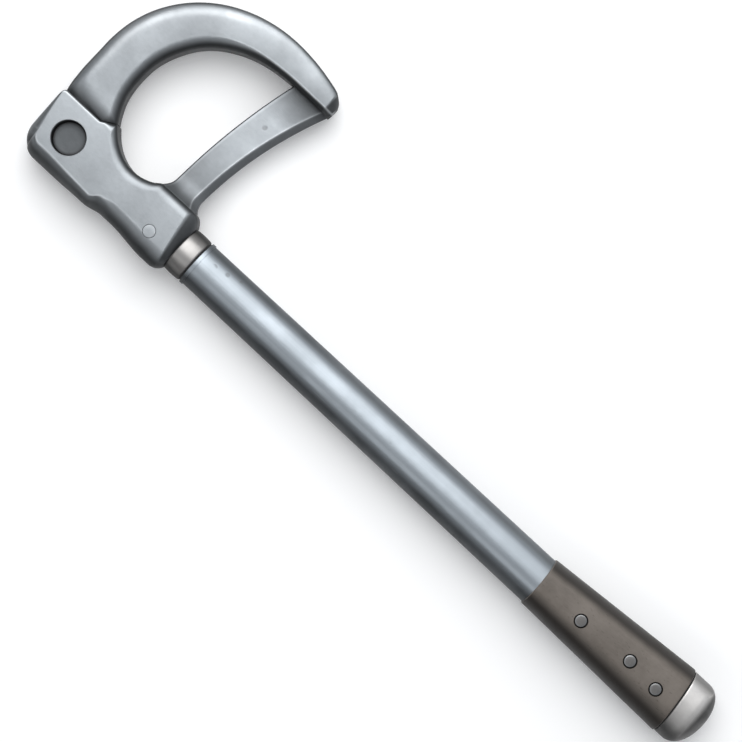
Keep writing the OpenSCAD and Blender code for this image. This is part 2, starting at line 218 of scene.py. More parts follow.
def combine(target, tool_mesh, operation):
    """Exact boolean of a mesh with a tool; the tool is deleted afterwards."""
    base = bpy.data.objects.new("work_base", target)
    tool = bpy.data.objects.new("work_tool", tool_mesh)
    for obj in (base, tool):
        bpy.context.scene.collection.objects.link(obj)
    mod = base.modifiers.new("cut", "BOOLEAN")
    mod.operation, mod.object, mod.solver = operation, tool, "EXACT"
    depsgraph = bpy.context.evaluated_depsgraph_get()
    result = bpy.data.meshes.new_from_object(base.evaluated_get(depsgraph))
    for obj in (base, tool):
        bpy.data.objects.remove(obj)
    bpy.data.meshes.remove(target)
    bpy.data.meshes.remove(tool_mesh)
    return result


def hole_cutter(at, radius, z_low, z_high, rim=0.5):
    """Cylinder that cuts a hole with a small chamfer at its upper mouth; the hole's wall gets
    painted shade and the chamfer a light line, partly wear and partly painted highlight.
    """
    profile = [(z_low, radius, 1, 0), (z_high - rim, radius, 1, 0),
               (z_high, radius + rim, 0.2, 0.7), (z_high + 2, radius + rim, 0, 0)]
    return lathe_mesh("hole", profile, np.array([at[0], at[1], 0.0]))


# ---- head --------------------------------------------------------------------

HEAD_LEFT, HEAD_RIGHT, END_X = -120.2, -11.8, -18
CORNER_R, CHEEK_CORNER = 13.0, 3.0
# Top of the cheeks, where the bow is joined, the slope that follows and the shoulder
JOINT_Y, SHOULDER_X, SHOULDER_Y = 22.0, -40, 20.0
RISE_X, RISE_END, RISE = -92.5, -84.2, 0.6
# Lowest point of the loop, the half axes of its left side and the radius of its right side
LOOP_X, LOOP_Y = -60.1, 13.7
LOOP_A, LOOP_B, LOOP_R = 32.6, 37.8, 27.0
# The blade's pin, then radii of the pivot's bore, the bow's eye and the core left by the lip
BLADE_PIN, BLADE_PIN_R = (-30, -4.9), 3.8
BORE_R, EYE_R, NECK_R = 10, 16, 18
# Half thicknesses of tang, slot, neck and lip, and the Y where the lip starts at the left
TANG_H, SLOT_H = 6.0, 6.55
NECK_H, NECK_LOW = 12.2, 4.7
LIP_H = NECK_H + 0.5
# Cutters that go right through the tool reach from below its back to above its front
BELOW, ABOVE = -5, 40


def end_part(x):
    """0 where the head's right end starts to narrow and 1 at its end face."""
    return clamp01((x - END_X) / (HEAD_RIGHT - END_X))


def head_top(x):
    """Y of the head's top edge: cheek corner, cheek, foot of the loop and shoulder."""
    if x < HEAD_LEFT + CHEEK_CORNER:
        side = x - HEAD_LEFT - CHEEK_CORNER
        return JOINT_Y - CHEEK_CORNER + math.sqrt(max(0, CHEEK_CORNER ** 2 - side ** 2))
    if x < RISE_X:
        return JOINT_Y
    if x < RISE_END:
        return JOINT_Y + (x - RISE_X) * RISE
    if x < LOOP_X:
        return LOOP_Y + LOOP_B - LOOP_B * (1 - ((LOOP_X - x) / LOOP_A) ** 1.9) ** (1 / 1.9)
    if x < SHOULDER_X:
        rise = LOOP_R - math.sqrt(LOOP_R ** 2 - (x - LOOP_X) ** 2)
        return mix(LOOP_Y + rise, SHOULDER_Y, ease(x, SHOULDER_X - 7, SHOULDER_X))
    return SHOULDER_Y - 5.2 * end_part(x) ** 2


def head_bottom(x):
    """Y of the head's bottom edge, which has a waist below the loop."""
    low, arc_x = -19.6, HEAD_LEFT + CORNER_R
    if x < arc_x:
        return low + CORNER_R - math.sqrt(max(0, CORNER_R ** 2 - (x - arc_x) ** 2))
    waist = 0.5 * ease(x, -90, -72) + 2.1 * ease(x, -69, -57) - 2.3 * ease(x, -50, -24)
    return low + waist + 4.3 * end_part(x) ** 2


def head_face_low(x):
    """Lower edge of the head's flat face, which steps up below the loop."""
    round_r, round_x = 6.0, -109.0
    inside = min(round_r, max(0, round_x - x))
    return (-11.2 - 2 * clamp01((x + 102) / 33) + 4.2 * ease(x, -69.5, -63)
            - 1.4 * ease(x, -62, -20) + round_r - math.sqrt(round_r ** 2 - inside ** 2))


def head_surface(x, y):
    """Half thickness and painted shade of the head, whose face falls away at both its ends;
    the painted shade darkens those falling ends.
    """
    left_r = 0.7 + 5.2 * clamp01((JOINT_Y - y) / 30) ** 1.3
    face_end = END_X - 0.19 * y
    left = (HEAD_LEFT + left_r - x) / left_r
    right = (x - face_end) / (HEAD_RIGHT - face_end + 0.3)
    drop = bent_drop(left, 1.1 * left_r, 0.35) + bent_drop(right, 5.5, 0.35)
    dark = np.maximum(0.6 * ease(left, 0, 0.4), 0.9 * ease(right, 0, 0.25))
    return HEAD_H - drop, dark


def head_stations():
    """X of the head's sections, which are closest together at its ends."""
    left = HEAD_LEFT + 6.5 * (1 - np.cos(np.linspace(0, math.pi / 2, 22)))
    middle = np.arange(-113.2, -21, 0.8)
    right = np.linspace(-21, HEAD_RIGHT, 30)
    return np.concatenate([left, middle, right])


def head_mesh():
    """Head without its cuts; its top edge is crisp along the cheeks and round in the loop."""
    rings = []
    for x in head_stations():
        bottom, top = head_bottom(x), head_top(x)
        low = max(1.0, head_face_low(x) - bottom)
        round_top = ease(x, -91, -81)
        high = 1.1 + 5.4 * round_top
        crisp = mix(0.5, 0.0, round_top)
        soft = ease(x, -64, -52)
        crisp_low = mix(0.5, 0.12, soft) * ease(x, -119, -112) * (1 - ease(x, -26, -20))
        low += 2.5 * soft
        low_edge = (low, mix(1.1 * low + 1, 8.5, soft), crisp_low, low)
        high_edge = (high, mix(1, 0.65, round_top) * high, crisp,
                     mix(1, 0.62, round_top) * high)
        rings.append(bar_ring(np.array([x, bottom]), np.array([x, top]),
                              low_edge, high_edge, head_surface, crown=0.35))
    return skin_mesh("head_body", rings)


def neck_slot():
    """Outline of the room that the bow's tang and neck need to swing."""
    x, y = PIVOT
    return [(-130, y - 4), (x, y - 4), (-82.9, 6), (-89.6, 28), (-89.6, 40), (-130, 40)]


def build_head():
    """Head with the slot for the tang, the lip round the neck, the eye's room and bores."""
    mesh = head_mesh()
    mesh = combine(mesh, plate_mesh("slot", neck_slot(), ZC - SLOT_H, ZC + SLOT_H), "DIFFERENCE")
    lip = plate_mesh("lip", neck_slot(), ZC - LIP_H, ZC + LIP_H)
    lip = combine(lip, plate_mesh("core", circle(PIVOT, NECK_R), BELOW, ABOVE), "DIFFERENCE")
    low = [(-131, NECK_LOW - 10), (-111, NECK_LOW - 10), (-111, NECK_LOW), (-131, NECK_LOW)]
    lip = combine(lip, plate_mesh("low", low, BELOW, ABOVE), "DIFFERENCE")
    mesh = combine(mesh, lip, "DIFFERENCE")
    room = plate_mesh("eye_room", circle(PIVOT, EYE_R + 0.6), ZC - SLOT_H, ZC + SLOT_H)
    mesh = combine(mesh, room, "DIFFERENCE")
    mesh = combine(mesh, hole_cutter(PIVOT, BORE_R, -2, 2 * HEAD_H, 0.5), "DIFFERENCE")
    mesh = combine(mesh, hole_cutter(BLADE_PIN, BLADE_PIN_R, -2, 2 * HEAD_H, 0.25), "DIFFERENCE")
    return new_object("head_body", mesh, "root", "forged_steel", "head")


def build_pins():
    """The sunk pivot pin and the small pin that holds the blade."""
    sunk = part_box("pivot_pin")[1].z / MM
    # Tones paint shade on the pin's side and darken its floor towards the rim: painted shade in the
    # recess
    profile = [(0.4, 9.2, 0.8, 0), (1.1, 9.9, 1, 0), (sunk - 0.6, 9.9, 1, 0),
               (sunk - 0.15, 9.5, 1, 0), (sunk - 0.1, 8.8, 0.5, 0), (sunk - 0.2, 7.8, 0.15, 0),
               (sunk - 0.25, 5, 0, 0), (sunk - 0.25, 1, 0, 0)]
    mesh = lathe_mesh("pivot_pin_head", profile, np.array([*PIVOT, 0.0]))
    pivot_pin = new_object("pivot_pin_head", mesh, "root", "pin_steel", "pivot_pin")
    top = 2 * HEAD_H
    # Painted shade on the small pin's side; light line at its top edge, wear and painted highlight
    profile = [(0.3, 3.2, 0.6, 0), (0.8, 3.74, 0.8, 0), (top - 0.25, 3.74, 0.8, 0),
               (top - 0.08, 3.6, 0.2, 0.3), (top - 0.04, 3.3, 0, 0.1), (top - 0.04, 0.5, 0, 0)]
    mesh = lathe_mesh("blade_pin_head", profile, np.array([*BLADE_PIN, 0.0]))
    blade_pin = new_object("blade_pin_head", mesh, "root", "pin_steel", "blade_pin")
    return pivot_pin, blade_pin


# ---- bow ---------------------------------------------------------------------

# Point inside the loop from which the bow's rows are measured
BOW_POLE = np.array([-46.0, 49.5])
# Angle about the pole, inner radius, outer radius
BOW_ROWS = np.array([
    (210, 44.6, 80), (200, 45.3, 78.4), (190, 46.1, 76.2), (180, 46.7, 75.08), (170, 47.6, 76),
    (160, 49, 77.3), (150, 50.2, 78.3), (140, 51.6, 79), (130, 53.3, 79.5), (120, 54.8, 79.8),
    (110, 56.2, 80), (100, 57.9, 80.36), (90, 59.8, 80.91), (80, 62.2, 81.8), (70, 65.6, 83.5),
    (63, 69.2, 85.3)], float)
# Rail points of the rounded nose: inner x, inner y, outer x, outer y
NOSE_ROWS = np.array([
    (-14.6, 111.2, -7.3, 125.5), (-9, 111, -5.9, 125), (-5.2, 110.9, -5, 124.4),
    (-3.2, 110.9, -3, 123), (-1.6, 110.9, -1.3, 121.2), (-0.4, 111, 0.1, 118.4)], float)
NOSE_FACE_END = -5.0
OPEN_MAX = joint["range_deg"][1]
# Gap that the bow keeps from the head and from the blade's faces
PLAY = 0.4


def polar(r, degrees):
    a = math.radians(degrees)
    return BOW_POLE + r * np.array([math.cos(a), math.sin(a)])


def cheek_edge(phi):
    """Distance from the pivot to the head's top edge, in a direction in degrees."""
    flat, left, run = JOINT_Y - PIVOT[1], PIVOT[0] - HEAD_LEFT, RISE_X - PIVOT[0]
    a = np.radians(phi)
    rising = (flat - RISE * run) / np.maximum(0.2, np.sin(a) - RISE * np.cos(a))
    side = left / np.maximum(0.2, -np.cos(a))
    rise_end, end = np.degrees(np.arctan2(flat, (run, -left)))
    return np.where(phi < rise_end, rising, np.where(phi < end, flat / np.sin(a), side))


def swept_edge(phi):
    """The furthest that edge reaches over the bow while the bow swings open."""
    tip = math.hypot(PIVOT[0] - HEAD_LEFT, JOINT_Y - PIVOT[1]) - 0.3 * CHEEK_CORNER
    turned = [np.minimum(cheek_edge(phi + OPEN_MAX * k / 12), tip) for k in range(1, 13)]
    return np.maximum.reduce([cheek_edge(phi)] + turned) + PLAY


def bow_surface(x, y):
    """Half thickness and painted shade of the bow: thin neck where the head's lip passes over it,
    cove up to the full bar, and falling nose. The painted shade is a shadow on the root next to the
    head's edge and shade on the nose's falling end."""
    dx, dy = x - PIVOT[0], y - PIVOT[1]
    phi = np.maximum(48, np.degrees(np.arctan2(dy, dx)))
    reach = np.hypot(dx, dy)
    at_root = (dy > 0) & (x < -70)
    beyond, swept = reach - cheek_edge(phi), swept_edge(phi) - cheek_edge(phi)
    cove = clamp01((beyond - swept) / 9)
    neck = mix(NECK_H - 0.8 * clamp01(1 - beyond / swept), BOW_H, 1 - (1 - cove) ** 2)
    nose = (x - NOSE_FACE_END) / 5.2
    half = np.where(at_root, neck, BOW_H) - 6.5 * clamp01(nose)
    above_head = y - JOINT_Y - RISE * np.clip(x - RISE_X, 0, RISE_END - RISE_X)
    # Painted shadow on the bow's root, darkest at the head's edge
    root_dark = 0.95 * (1 - ease(above_head, 0.3, 9))
    return half, np.maximum(np.where(at_root, root_dark, 0), 0.85 * ease(nose, 0, 0.2))


def bow_rails():
    """Inner and outer rail point, crispness and lightness of the painted highlight band, along the
    bow.
    """
    for t in np.linspace(0, len(BOW_ROWS) - 1, 201):
        angle, inner, outer = catmull(BOW_ROWS, t)
        highlight_band = 0.42 * ease(t, 1, 4) * (1 - 0.8 * ease(t, 8.5, 12.5))
        yield polar(inner, angle), polar(outer, angle), ease(t, 8, 13), highlight_band
    for t in np.linspace(0, len(NOSE_ROWS) - 1, 30)[1:]:
        row = catmull(NOSE_ROWS, t)
        yield row[:2], row[2:], 1.0, 0.0


def bow_mesh():
    """Bow as one swept bar, without its tang and eye."""
    rings = []
    for inner, outer, crisp, highlight_band in bow_rails():
        width = np.linalg.norm(outer - inner)
        r_in = mix(6.5, 3.0, crisp)
        r_out = min(mix(8.0, 5.0, crisp), width / 2.4)
        rings.append(bar_ring(inner, outer, (r_in, 0.9 * r_in, 0.7 * crisp, mix(5.6, 4.2, crisp)),
                              (r_out, 0.6 * r_out, 0.0, 0.35 * r_out), bow_surface, 0.5, highlight_band))
    return skin_mesh("bow_body", rings)


def build_bow():
    """Bow with tang, eye and bore, and with the slot that takes the blade's tip."""
    mesh = bow_mesh()
    mesh = combine(mesh, plate_mesh("eye_room", circle(PIVOT, NECK_R + PLAY), BELOW, ABOVE),
                   "DIFFERENCE")
    tang = [(-119.2, 24), (-115.1, 4), (-90, -3), (-83.6, 6), (-90.4, 28), (-95, 36), (-114, 36)]
    plate = combine(plate_mesh("tang", tang, ZC - TANG_H, ZC + TANG_H),
                    plate_mesh("eye", circle(PIVOT, EYE_R), ZC - TANG_H, ZC + TANG_H), "UNION")
    mesh = combine(mesh, plate, "UNION")
    mesh = combine(mesh, plate_mesh("bore", circle(PIVOT, BORE_R), BELOW, ABOVE), "DIFFERENCE")
    slot = [(-28.5, 100), (11.5, 100), (11.5, 114), (-28.5, 114)]
    slot_h = BLADE_H + PLAY
    mesh = combine(mesh, plate_mesh("slot", slot, ZC - slot_h, ZC + slot_h), "DIFFERENCE")
    return new_object("bow_body", mesh, "bow", "bow_steel", "bow")


# ---- blade -------------------------------------------------------------------

# Half thickness, width of the ground bevel, and start and length of the bowed run in Y
BLADE_H, BEVEL_W = 4.0, 4.4
BLADE_Y, BLADE_RUN = 27, 84


def bowed(y, low, high, sagitta, flare):
    """X of one edge of the blade: from low to high, bowed by sagitta, flared at the root."""
    t = (y - BLADE_Y) / BLADE_RUN
    return (mix(low, high, t) - 4 * sagitta * t * (1 - t)
            + flare * clamp01((BLADE_Y - y) / 7) ** 2)


def blade_ring(y):
    """Section of the blade: thicker at the root, and ground to an edge on its +X side."""
    a = bowed(y, -39.8, -27.2, 2.3, -3.2)
    width = bowed(y, -20.3, -0.9, 4, 2.8) - a
    half = BLADE_H + 5.5 * clamp01((34 - y) / 14) ** 2.4
    back_s, back_drop, back_tone = edge_profile(1.0, 1.0, 0.3, 1.0, 7)
    flat_s = np.concatenate([np.linspace(1.0, width - BEVEL_W, 14)[1:-1],
                             width - BEVEL_W - np.array([0.6, 0.2, 0])])
    ground = np.linspace(0, 1, 10)[1:]
    s = np.concatenate([back_s, flat_s, width - BEVEL_W * (1 - ground)])
    drop = np.concatenate([back_drop, np.zeros(len(flat_s)), (BLADE_H - 0.5) * ground ** 1.15])
    # Painted shade on the ground bevel; shadow paints shade at the root and under the bow's nose
    tone = np.concatenate([back_tone, np.zeros(len(flat_s)), mix(0.45, 0.65, ground)])
    shadow = max(0.86 - 0.46 * ease(y, 21, 31) - 0.4 * ease(y, 28, 70),
                 0.88 * clamp01((y - 88) / 24))
    # Light lines along the bevel and the back, partly wear and partly painted highlight
    rim = (0.8 * np.exp(-((s - width + BEVEL_W) / 0.5) ** 2)
           + 0.35 * np.exp(-((s - 1.2) / 0.5) ** 2)) * (1 - 0.7 * shadow)
    marks = np.column_stack([np.maximum(tone, shadow), rim])
    xy = np.column_stack([a + s, np.full(len(s), y)])
    front = np.column_stack([xy, ZC + half - drop, marks])
    return np.concatenate([front, np.column_stack([xy, ZC - half + drop, marks])[::-1]])


def build_blade():
    stations = np.concatenate([np.linspace(19.4, 34, 30), np.linspace(35, 113.3, 79)])
    mesh = skin_mesh("blade_body", [blade_ring(y) for y in stations])
    return new_object("blade_body", mesh, "root", "blade_steel", "blade")


# ---- shaft -------------------------------------------------------------------

FERRULE_R, SPIGOT_R = 14.5, 11


def build_ferrule():
    """Slightly barrelled sleeve with softened ends."""
    start, end = (x / MM - DATUM for x in (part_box("ferrule")[0].x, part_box("ferrule")[1].x))
    middle, half = (start + end) / 2, (end - start) / 2
    # Both end faces carry painted shade, dark where the sleeve meets the head and the tube
    profile = [(start, SPIGOT_R, 1, 0)]
    for t in np.linspace(-1, 1, 33):
        soft = 0.7 * max(0, abs(t) * half - half + 0.7) ** 2
        profile.append((middle + half * t, FERRULE_R - 0.35 * t * t - soft, 0, 0))
    profile.append((end, SPIGOT_R, 1, 0))
    mesh = lathe_mesh("ferrule_sleeve", profile, np.array([0.0, 0.0, ZC]), "x", 128)
    return new_object("ferrule_sleeve", mesh, "root", "polished_steel", "ferrule")


# ---- grip and cap --------------------------------------------------------------

TUBE_END, GRIP_END, CAP_END = 266.0, 369.5, 391.0
# Half widths at the grip's two ends, and how far its middle line drifts to the +Y side
GRIP_W1, GRIP_W2, GRIP_DRIFT = 15.7, 20.8, 3.0
# Power of the oval section: 1 is an ellipse, less is squarer
OVAL_POWER = 0.88
# Where the cap's dome starts, and the cap's half width
CAP_DOME, CAP_W = 378.5, 20.2
RIVETS, RIVET_R = [(298.2, 0), (334, 2.2), (355.3, 0.4)], 3.45
# Sinks for the rivets' heads, with their floor measured from the tool's middle plane
SINK_R, SINK_FLOOR, SINK_REACH = 4.2, 12.5, 12


def grip_part(x):
    """0 at the grip's start and 1 at its end."""
    return clamp01((x - TUBE_END) / (GRIP_END - TUBE_END))


def grip_ring(x, w, h, lean, start=0, end=360, steps=128):
    """Squarish oval section with half width w and half height h, in a leaning plane."""
    a = np.radians(np.linspace(start, end, steps, endpoint=(end - start < 360)))
    dy = w * np.sign(np.cos(a)) * np.abs(np.cos(a)) ** OVAL_POWER
    dz = h * np.sign(np.sin(a)) * np.abs(np.sin(a)) ** OVAL_POWER
    return np.column_stack([x - lean * dy, GRIP_DRIFT * grip_part(x) + dy, ZC + dz])


def build_scale(name, node, start, side):
    """One half of the grip, with softened ends and open sinks for the rivets."""
    first, last = TUBE_END + 0.9, GRIP_END
    soft = 0.8
    turn = np.linspace(0, math.pi / 2, 6)
    stations = [(first + soft * (1 - math.cos(t)), soft * (1 - math.sin(t))) for t in turn]
    stations += [(x, 0) for x in np.linspace(first + soft, last - soft, 48)[1:-1]]
    stations += [(last - soft * (1 - math.cos(t)), soft * (1 - math.sin(t))) for t in turn[::-1]]
    rings = []
    for x, inset in stations:
        w = mix(GRIP_W1, GRIP_W2, grip_part(x)) - inset
        ring = grip_ring(x, w, HEAD_H - inset, mix(0.05, 0.12, grip_part(x)),
                         start, start + 180, 65)
        seam = np.abs(ring[:, 2] - ZC) < 0.02
        ring[seam, 2] = ZC + side * 0.02
        rings.append(ring)
    mesh = skin_mesh(name, rings)
    for x, y in RIVETS:
        # The sinks' walls keep tone 1: painted shade round the rivet heads
        profile = [(side * z, SINK_R, 1, 0) for z in (SINK_FLOOR, SINK_FLOOR + SINK_REACH)]
        sink = lathe_mesh("sink", profile, np.array([x, y, ZC]), segments=64)
        mesh = combine(mesh, sink, "DIFFERENCE")
    return new_object(name, mesh, "root", "grip_wood", node)


def build_cap():
    """Cap with a short straight side and a flat dome."""
    side, depth, high = GRIP_END + 0.8, CAP_END - CAP_DOME, HEAD_H - 0.3
    rings = []
    for t in np.linspace(0, math.pi / 2, 6):
        inset = 0.5 * (1 - math.sin(t))
        rings.append(grip_ring(side + 0.5 * (1 - math.cos(t)), CAP_W - inset, high - inset, 0.12))
    for t in np.linspace(0.08, 1, 14):
        rings.append(grip_ring(mix(side + 0.5, CAP_DOME, t), CAP_W, high, mix(0.12, 0, t)))
    for a in np.radians(np.linspace(3, 87, 29)):
        k = math.cos(a) ** 0.95
        rings.append(grip_ring(CAP_DOME + depth * math.sin(a) ** 0.95, CAP_W * k, high * k, 0))
    rings.append(grip_ring(CAP_END, 0.8, 0.6, 0))
    return new_object("end_cap_body", skin_mesh("end_cap_body", rings), "root",
                      "polished_steel", "end_cap")


def build_rivets():
    """Worn, nearly flat rivet heads on both faces of the grip."""
    rivets = []
    face = HEAD_H - 0.35
    for i, (x, y) in enumerate(RIVETS, 1):
        for side, node, word in ((1, "rivet_post", "front"), (-1, "rivet_cap", "back")):
            # Painted shade on the shank in the sink; light ring on the head: wear plus painted
            # highlight
            profile = [(SINK_FLOOR + 0.1, RIVET_R, 1, 0), (face - 0.5, RIVET_R, 1, 0),
                       (face - 0.3, 3.4, 0.5, 0.4), (face - 0.12, 3.2, 0, 0.8),
                       (face - 0.05, 2.7, 0, 0.1), (face - 0.02, 1.5, 0, 0), (face, 0.3, 0, 0)]
            profile = [(side * z, r, tone, rim) for z, r, tone, rim in profile]
            name = f"rivet_head_{word}_{i}"
            mesh = lathe_mesh(name, profile, np.array([x, y, ZC]), segments=64)
            rivets.append(new_object(name, mesh, "root", "rivet_steel", f"{node}_{i}"))
    return rivets


# ---- materials -----------------------------------------------------------------

class Nodes:
    """Small helper that adds and links shader nodes."""

    def __init__(self, name):
        self.material = bpy.data.materials.new(name)
        self.material.use_nodes = True
        self.tree = self.material.node_tree
        self.shader = self.tree.nodes["Principled BSDF"]
        self.object_xyz = self.add("ShaderNodeTexCoord").outputs["Object"]

    def add(self, kind, **settings):
        node = self.tree.nodes.new(kind)
        for key, value in settings.items():
            setattr(node, key, value)
        return node

    def link(self, source, target):
        if hasattr(source, "is_output"):
            self.tree.links.new(source, target)
        else:
            target.default_value = source

    def math(self, operation, a, b=0.5, clamp=False):
        node = self.add("ShaderNodeMath", operation=operation, use_clamp=clamp)
        self.link(a, node.inputs[0])
        self.link(b, node.inputs[1])
        return node.outputs[0]

    def remap(self, value, low, high, to_low=0.0, to_high=1.0):
        node = self.add("ShaderNodeMapRange", interpolation_type="SMOOTHSTEP")
        for socket, number in zip(list(node.inputs)[1:5], (low, high, to_low, to_high)):
            socket.default_value = number
        self.link(value, node.inputs[0])
        return node.outputs[0]

    def mapped(self, scale, turn=0.0):
        node = self.add("ShaderNodeMapping")
        node.inputs["Scale"].default_value = scale
        node.inputs["Rotation"].default_value = (0, 0, turn)
        self.link(self.object_xyz, node.inputs["Vector"])
        return node.outputs[0]

    def noise(self, scale, detail=3.0, rough=0.5, vector=None):
        node = self.add("ShaderNodeTexNoise")
        node.inputs["Scale"].default_value = scale
        node.inputs["Detail"].default_value = detail
        node.inputs["Roughness"].default_value = rough
        self.link(vector or self.object_xyz, node.inputs["Vector"])
        return node.outputs[0]

    def attribute(self, name):
        node = self.add("ShaderNodeAttribute", attribute_type="GEOMETRY", attribute_name=name)
        return node.outputs["Fac"]

    def blend(self, factor, a, b, kind="MIX"):
        node = self.add("ShaderNodeMix", data_type="RGBA", blend_type=kind)
        self.link(factor, node.inputs[0])
        self.link(a, node.inputs[6])
        self.link(b, node.inputs[7])
        return node.outputs[2]

    def bump(self, height, distance, strength=1.0, normal=None):
        node = self.add("ShaderNodeBump")
        node.inputs["Distance"].default_value = distance
        node.inputs["Strength"].default_value = strength
        self.link(height, node.inputs["Height"])
        if normal is not None:
            self.link(normal, node.inputs["Normal"])
        return node.outputs[0]

    def facing(self, axis):
        geometry = self.add("ShaderNodeNewGeometry")
        split = self.add("ShaderNodeSeparateXYZ")
        self.link(geometry.outputs["Normal"], split.inputs[0])
        return split.outputs[axis]

    def sideways(self, dark_below, clean_above):
        """1 on surfaces that face the tool's sides, 0 on those that face its front or back."""
        return self.remap(self.math("ABSOLUTE", self.facing("Z")), dark_below, clean_above, 1, 0)

    def flanks(self, near, far, strength):
        """Painted shade on the flanks: full by near on the -Y side, strength by far on the +Y side.
        """
        side = self.facing("Y")
        return self.math("MAXIMUM", self.remap(side, *near, 1, 0),
                         self.remap(side, *far, 0, strength))

    def scratches(self, turn, fineness=900):
        fine = self.noise(1.0, 2, 0.5, self.mapped((14, fineness, 14), turn))
        line = self.math("ABSOLUTE", self.math("SUBTRACT", fine, 0.5))
        return self.math("MULTIPLY", self.remap(line, 0.0, 0.012, 1, 0),
                         self.remap(self.noise(38, 2), 0.55, 0.68))

    def pits(self, scale, size):
        cells = self.add("ShaderNodeTexVoronoi")
        cells.inputs["Scale"].default_value = scale
        self.link(self.object_xyz, cells.inputs["Vector"])
        spots = self.remap(cells.outputs["Distance"], size * 0.5, size, 1, 0)
        return self.math("MULTIPLY", spots, self.remap(self.noise(30, 1), 0.6, 0.66))

    def finish(self, **sockets):
        for name, value in sockets.items():
            self.link(value, self.shader.inputs[name.replace("_", " ")])
        return self.material


def grey(value, tint=(1.0, 1.0, 1.0)):
    return (value * tint[0], value * tint[1], value * tint[2], 1.0)


def worn_steel(name, face, wall, roughness, turn, tone_of, lines=(300, 420, 420), rim=0.8):
    """Satin steel: clean faces, the wall colour as painted shade where tone is 1, light edge lines
    that are partly wear and partly painted highlight, fine grain, clouds, scratches and pits."""
    n = Nodes(name)
    cloud = n.noise(24, 4, 0.6)
    grain = n.noise(1.0, 3, 0.6, n.mapped(lines))
    # Painted shade from tone_of, varied at random by the clouds
    tone = n.math("ADD", tone_of(n), n.remap(cloud, 0.3, 0.7, -0.06, 0.10), clamp=True)
    colour = n.blend(tone, face, wall)
    # Light edge lines and the bow's band from rim: partly wear, partly painted highlight
    wear_and_glint = n.math("MULTIPLY", n.attribute("rim"), n.remap(n.noise(70, 2), 0.3, 0.7, 0.55, 0.85))
    colour = n.blend(wear_and_glint, colour, grey(rim, (0.96, 1.0, 1.03)))
    colour = n.blend(n.remap(grain, 0.35, 0.75, 0, 0.25), colour, grey(0.78), "MULTIPLY")
    marks = n.math("MAXIMUM", n.scratches(turn), n.scratches(turn + 1.3, 1300))
    marks = n.math("MULTIPLY", marks, n.math("SUBTRACT", 1, n.sideways(0.55, 0.85)))
    colour = n.blend(n.math("MULTIPLY", marks, 0.10), colour, grey(0.6))
    pits = n.pits(95, 0.2)
    colour = n.blend(n.math("MULTIPLY", pits, 0.45), colour, grey(0.1))
    rough = n.math("ADD", n.remap(cloud, 0.3, 0.7, roughness - 0.04, roughness + 0.06),
                   n.math("MULTIPLY", tone, 0.12))
    metal = n.remap(tone, 0, 1, 0.95, 0.55)
    wave = n.bump(n.noise(55, 3, 0.5), 0.0005, 0.4)
    fine = n.bump(grain, 0.00006, 0.5, wave)
    dents = n.bump(n.math("SUBTRACT", n.math("MULTIPLY", marks, 0.1), pits), 0.00015, 0.5, fine)
    return n.finish(Base_Color=colour, Metallic=metal, Roughness=rough, Normal=dents,
                    Specular_IOR_Level=0.3)


# The tone attribute: painted shade and painted shadow on the built meshes
def painted_shade(n):
    return n.attribute("tone")


def cap_painted_shade(n):
    """Painted shade on the dome's end and on the side that the lamp doesn't reach."""
    return n.math("MAXIMUM", n.remap(n.facing("X"), 0.14, 0.6, 0, 0.93),
                  n.flanks((-0.75, 0.42), (0.45, 0.85), 0.8))


def grip_material():
    """Dark grip: mottled brown, darker on its sides by painted shade, with short faint grain and
    fine pores.
    """
    n = Nodes("grip_wood")
    blotch = n.noise(38, 5, 0.6)
    grain = n.noise(1.0, 4, 0.6, n.mapped((110, 420, 420)))
    pores = n.noise(1.0, 2, 0.5, n.mapped((420, 1500, 1500)))
    warm = n.noise(18, 2, 0.5)
    colour = n.blend(n.remap(blotch, 0.32, 0.7), (0.120, 0.103, 0.088, 1), (0.172, 0.150, 0.130, 1))
    colour = n.blend(n.remap(warm, 0.45, 0.7, 0, 0.5), colour, (0.135, 0.100, 0.080, 1))
    colour = n.blend(n.remap(grain, 0.42, 0.66, 0, 0.22), colour, (0.190, 0.165, 0.145, 1))
    colour = n.blend(n.remap(pores, 0.62, 0.75, 0, 0.45), colour, (0.04, 0.033, 0.028, 1))
    # Painted shade on the grip's flanks and, from the tone attribute, in the rivet sinks
    dark = n.math("MAXIMUM", n.flanks((-0.6, -0.08), (0.37, 0.72), 0.95), n.attribute("tone"))
    colour = n.blend(dark, colour, (0.018, 0.0145, 0.012, 1))
    rough = n.remap(blotch, 0.3, 0.7, 0.42, 0.56)
    skin = n.bump(grain, 0.00012, 0.4)
    deep = n.bump(n.math("MULTIPLY", pores, -1.0), 0.0001, 0.4, skin)
    return n.finish(Base_Color=colour, Roughness=rough, Normal=deep, Specular_IOR_Level=0.35)


def plain(name, colour, roughness, metallic=0.0, grain_scale=700):
    n = Nodes(name)
    grain = n.noise(grain_scale, 3, 0.6)
    mixed = n.blend(n.remap(grain, 0.35, 0.7, 0, 0.4), colour, grey(0.7), "MULTIPLY")
    return n.finish(Base_Color=mixed, Metallic=metallic,
                    Roughness=n.remap(grain, 0.3, 0.7, roughness, roughness + 0.12),
                    Normal=n.bump(grain, 0.0001, 0.5))


def set_material(obj, material):
    obj.data.materials.clear()
    obj.data.materials.append(material)


# ---- build -----------------------------------------------------------------------

COOL, COLD, WARM = (0.94, 1.0, 1.05), (0.91, 1.0, 1.08), (1.03, 1.0, 0.97)
DRAWN = (9, 900, 900)
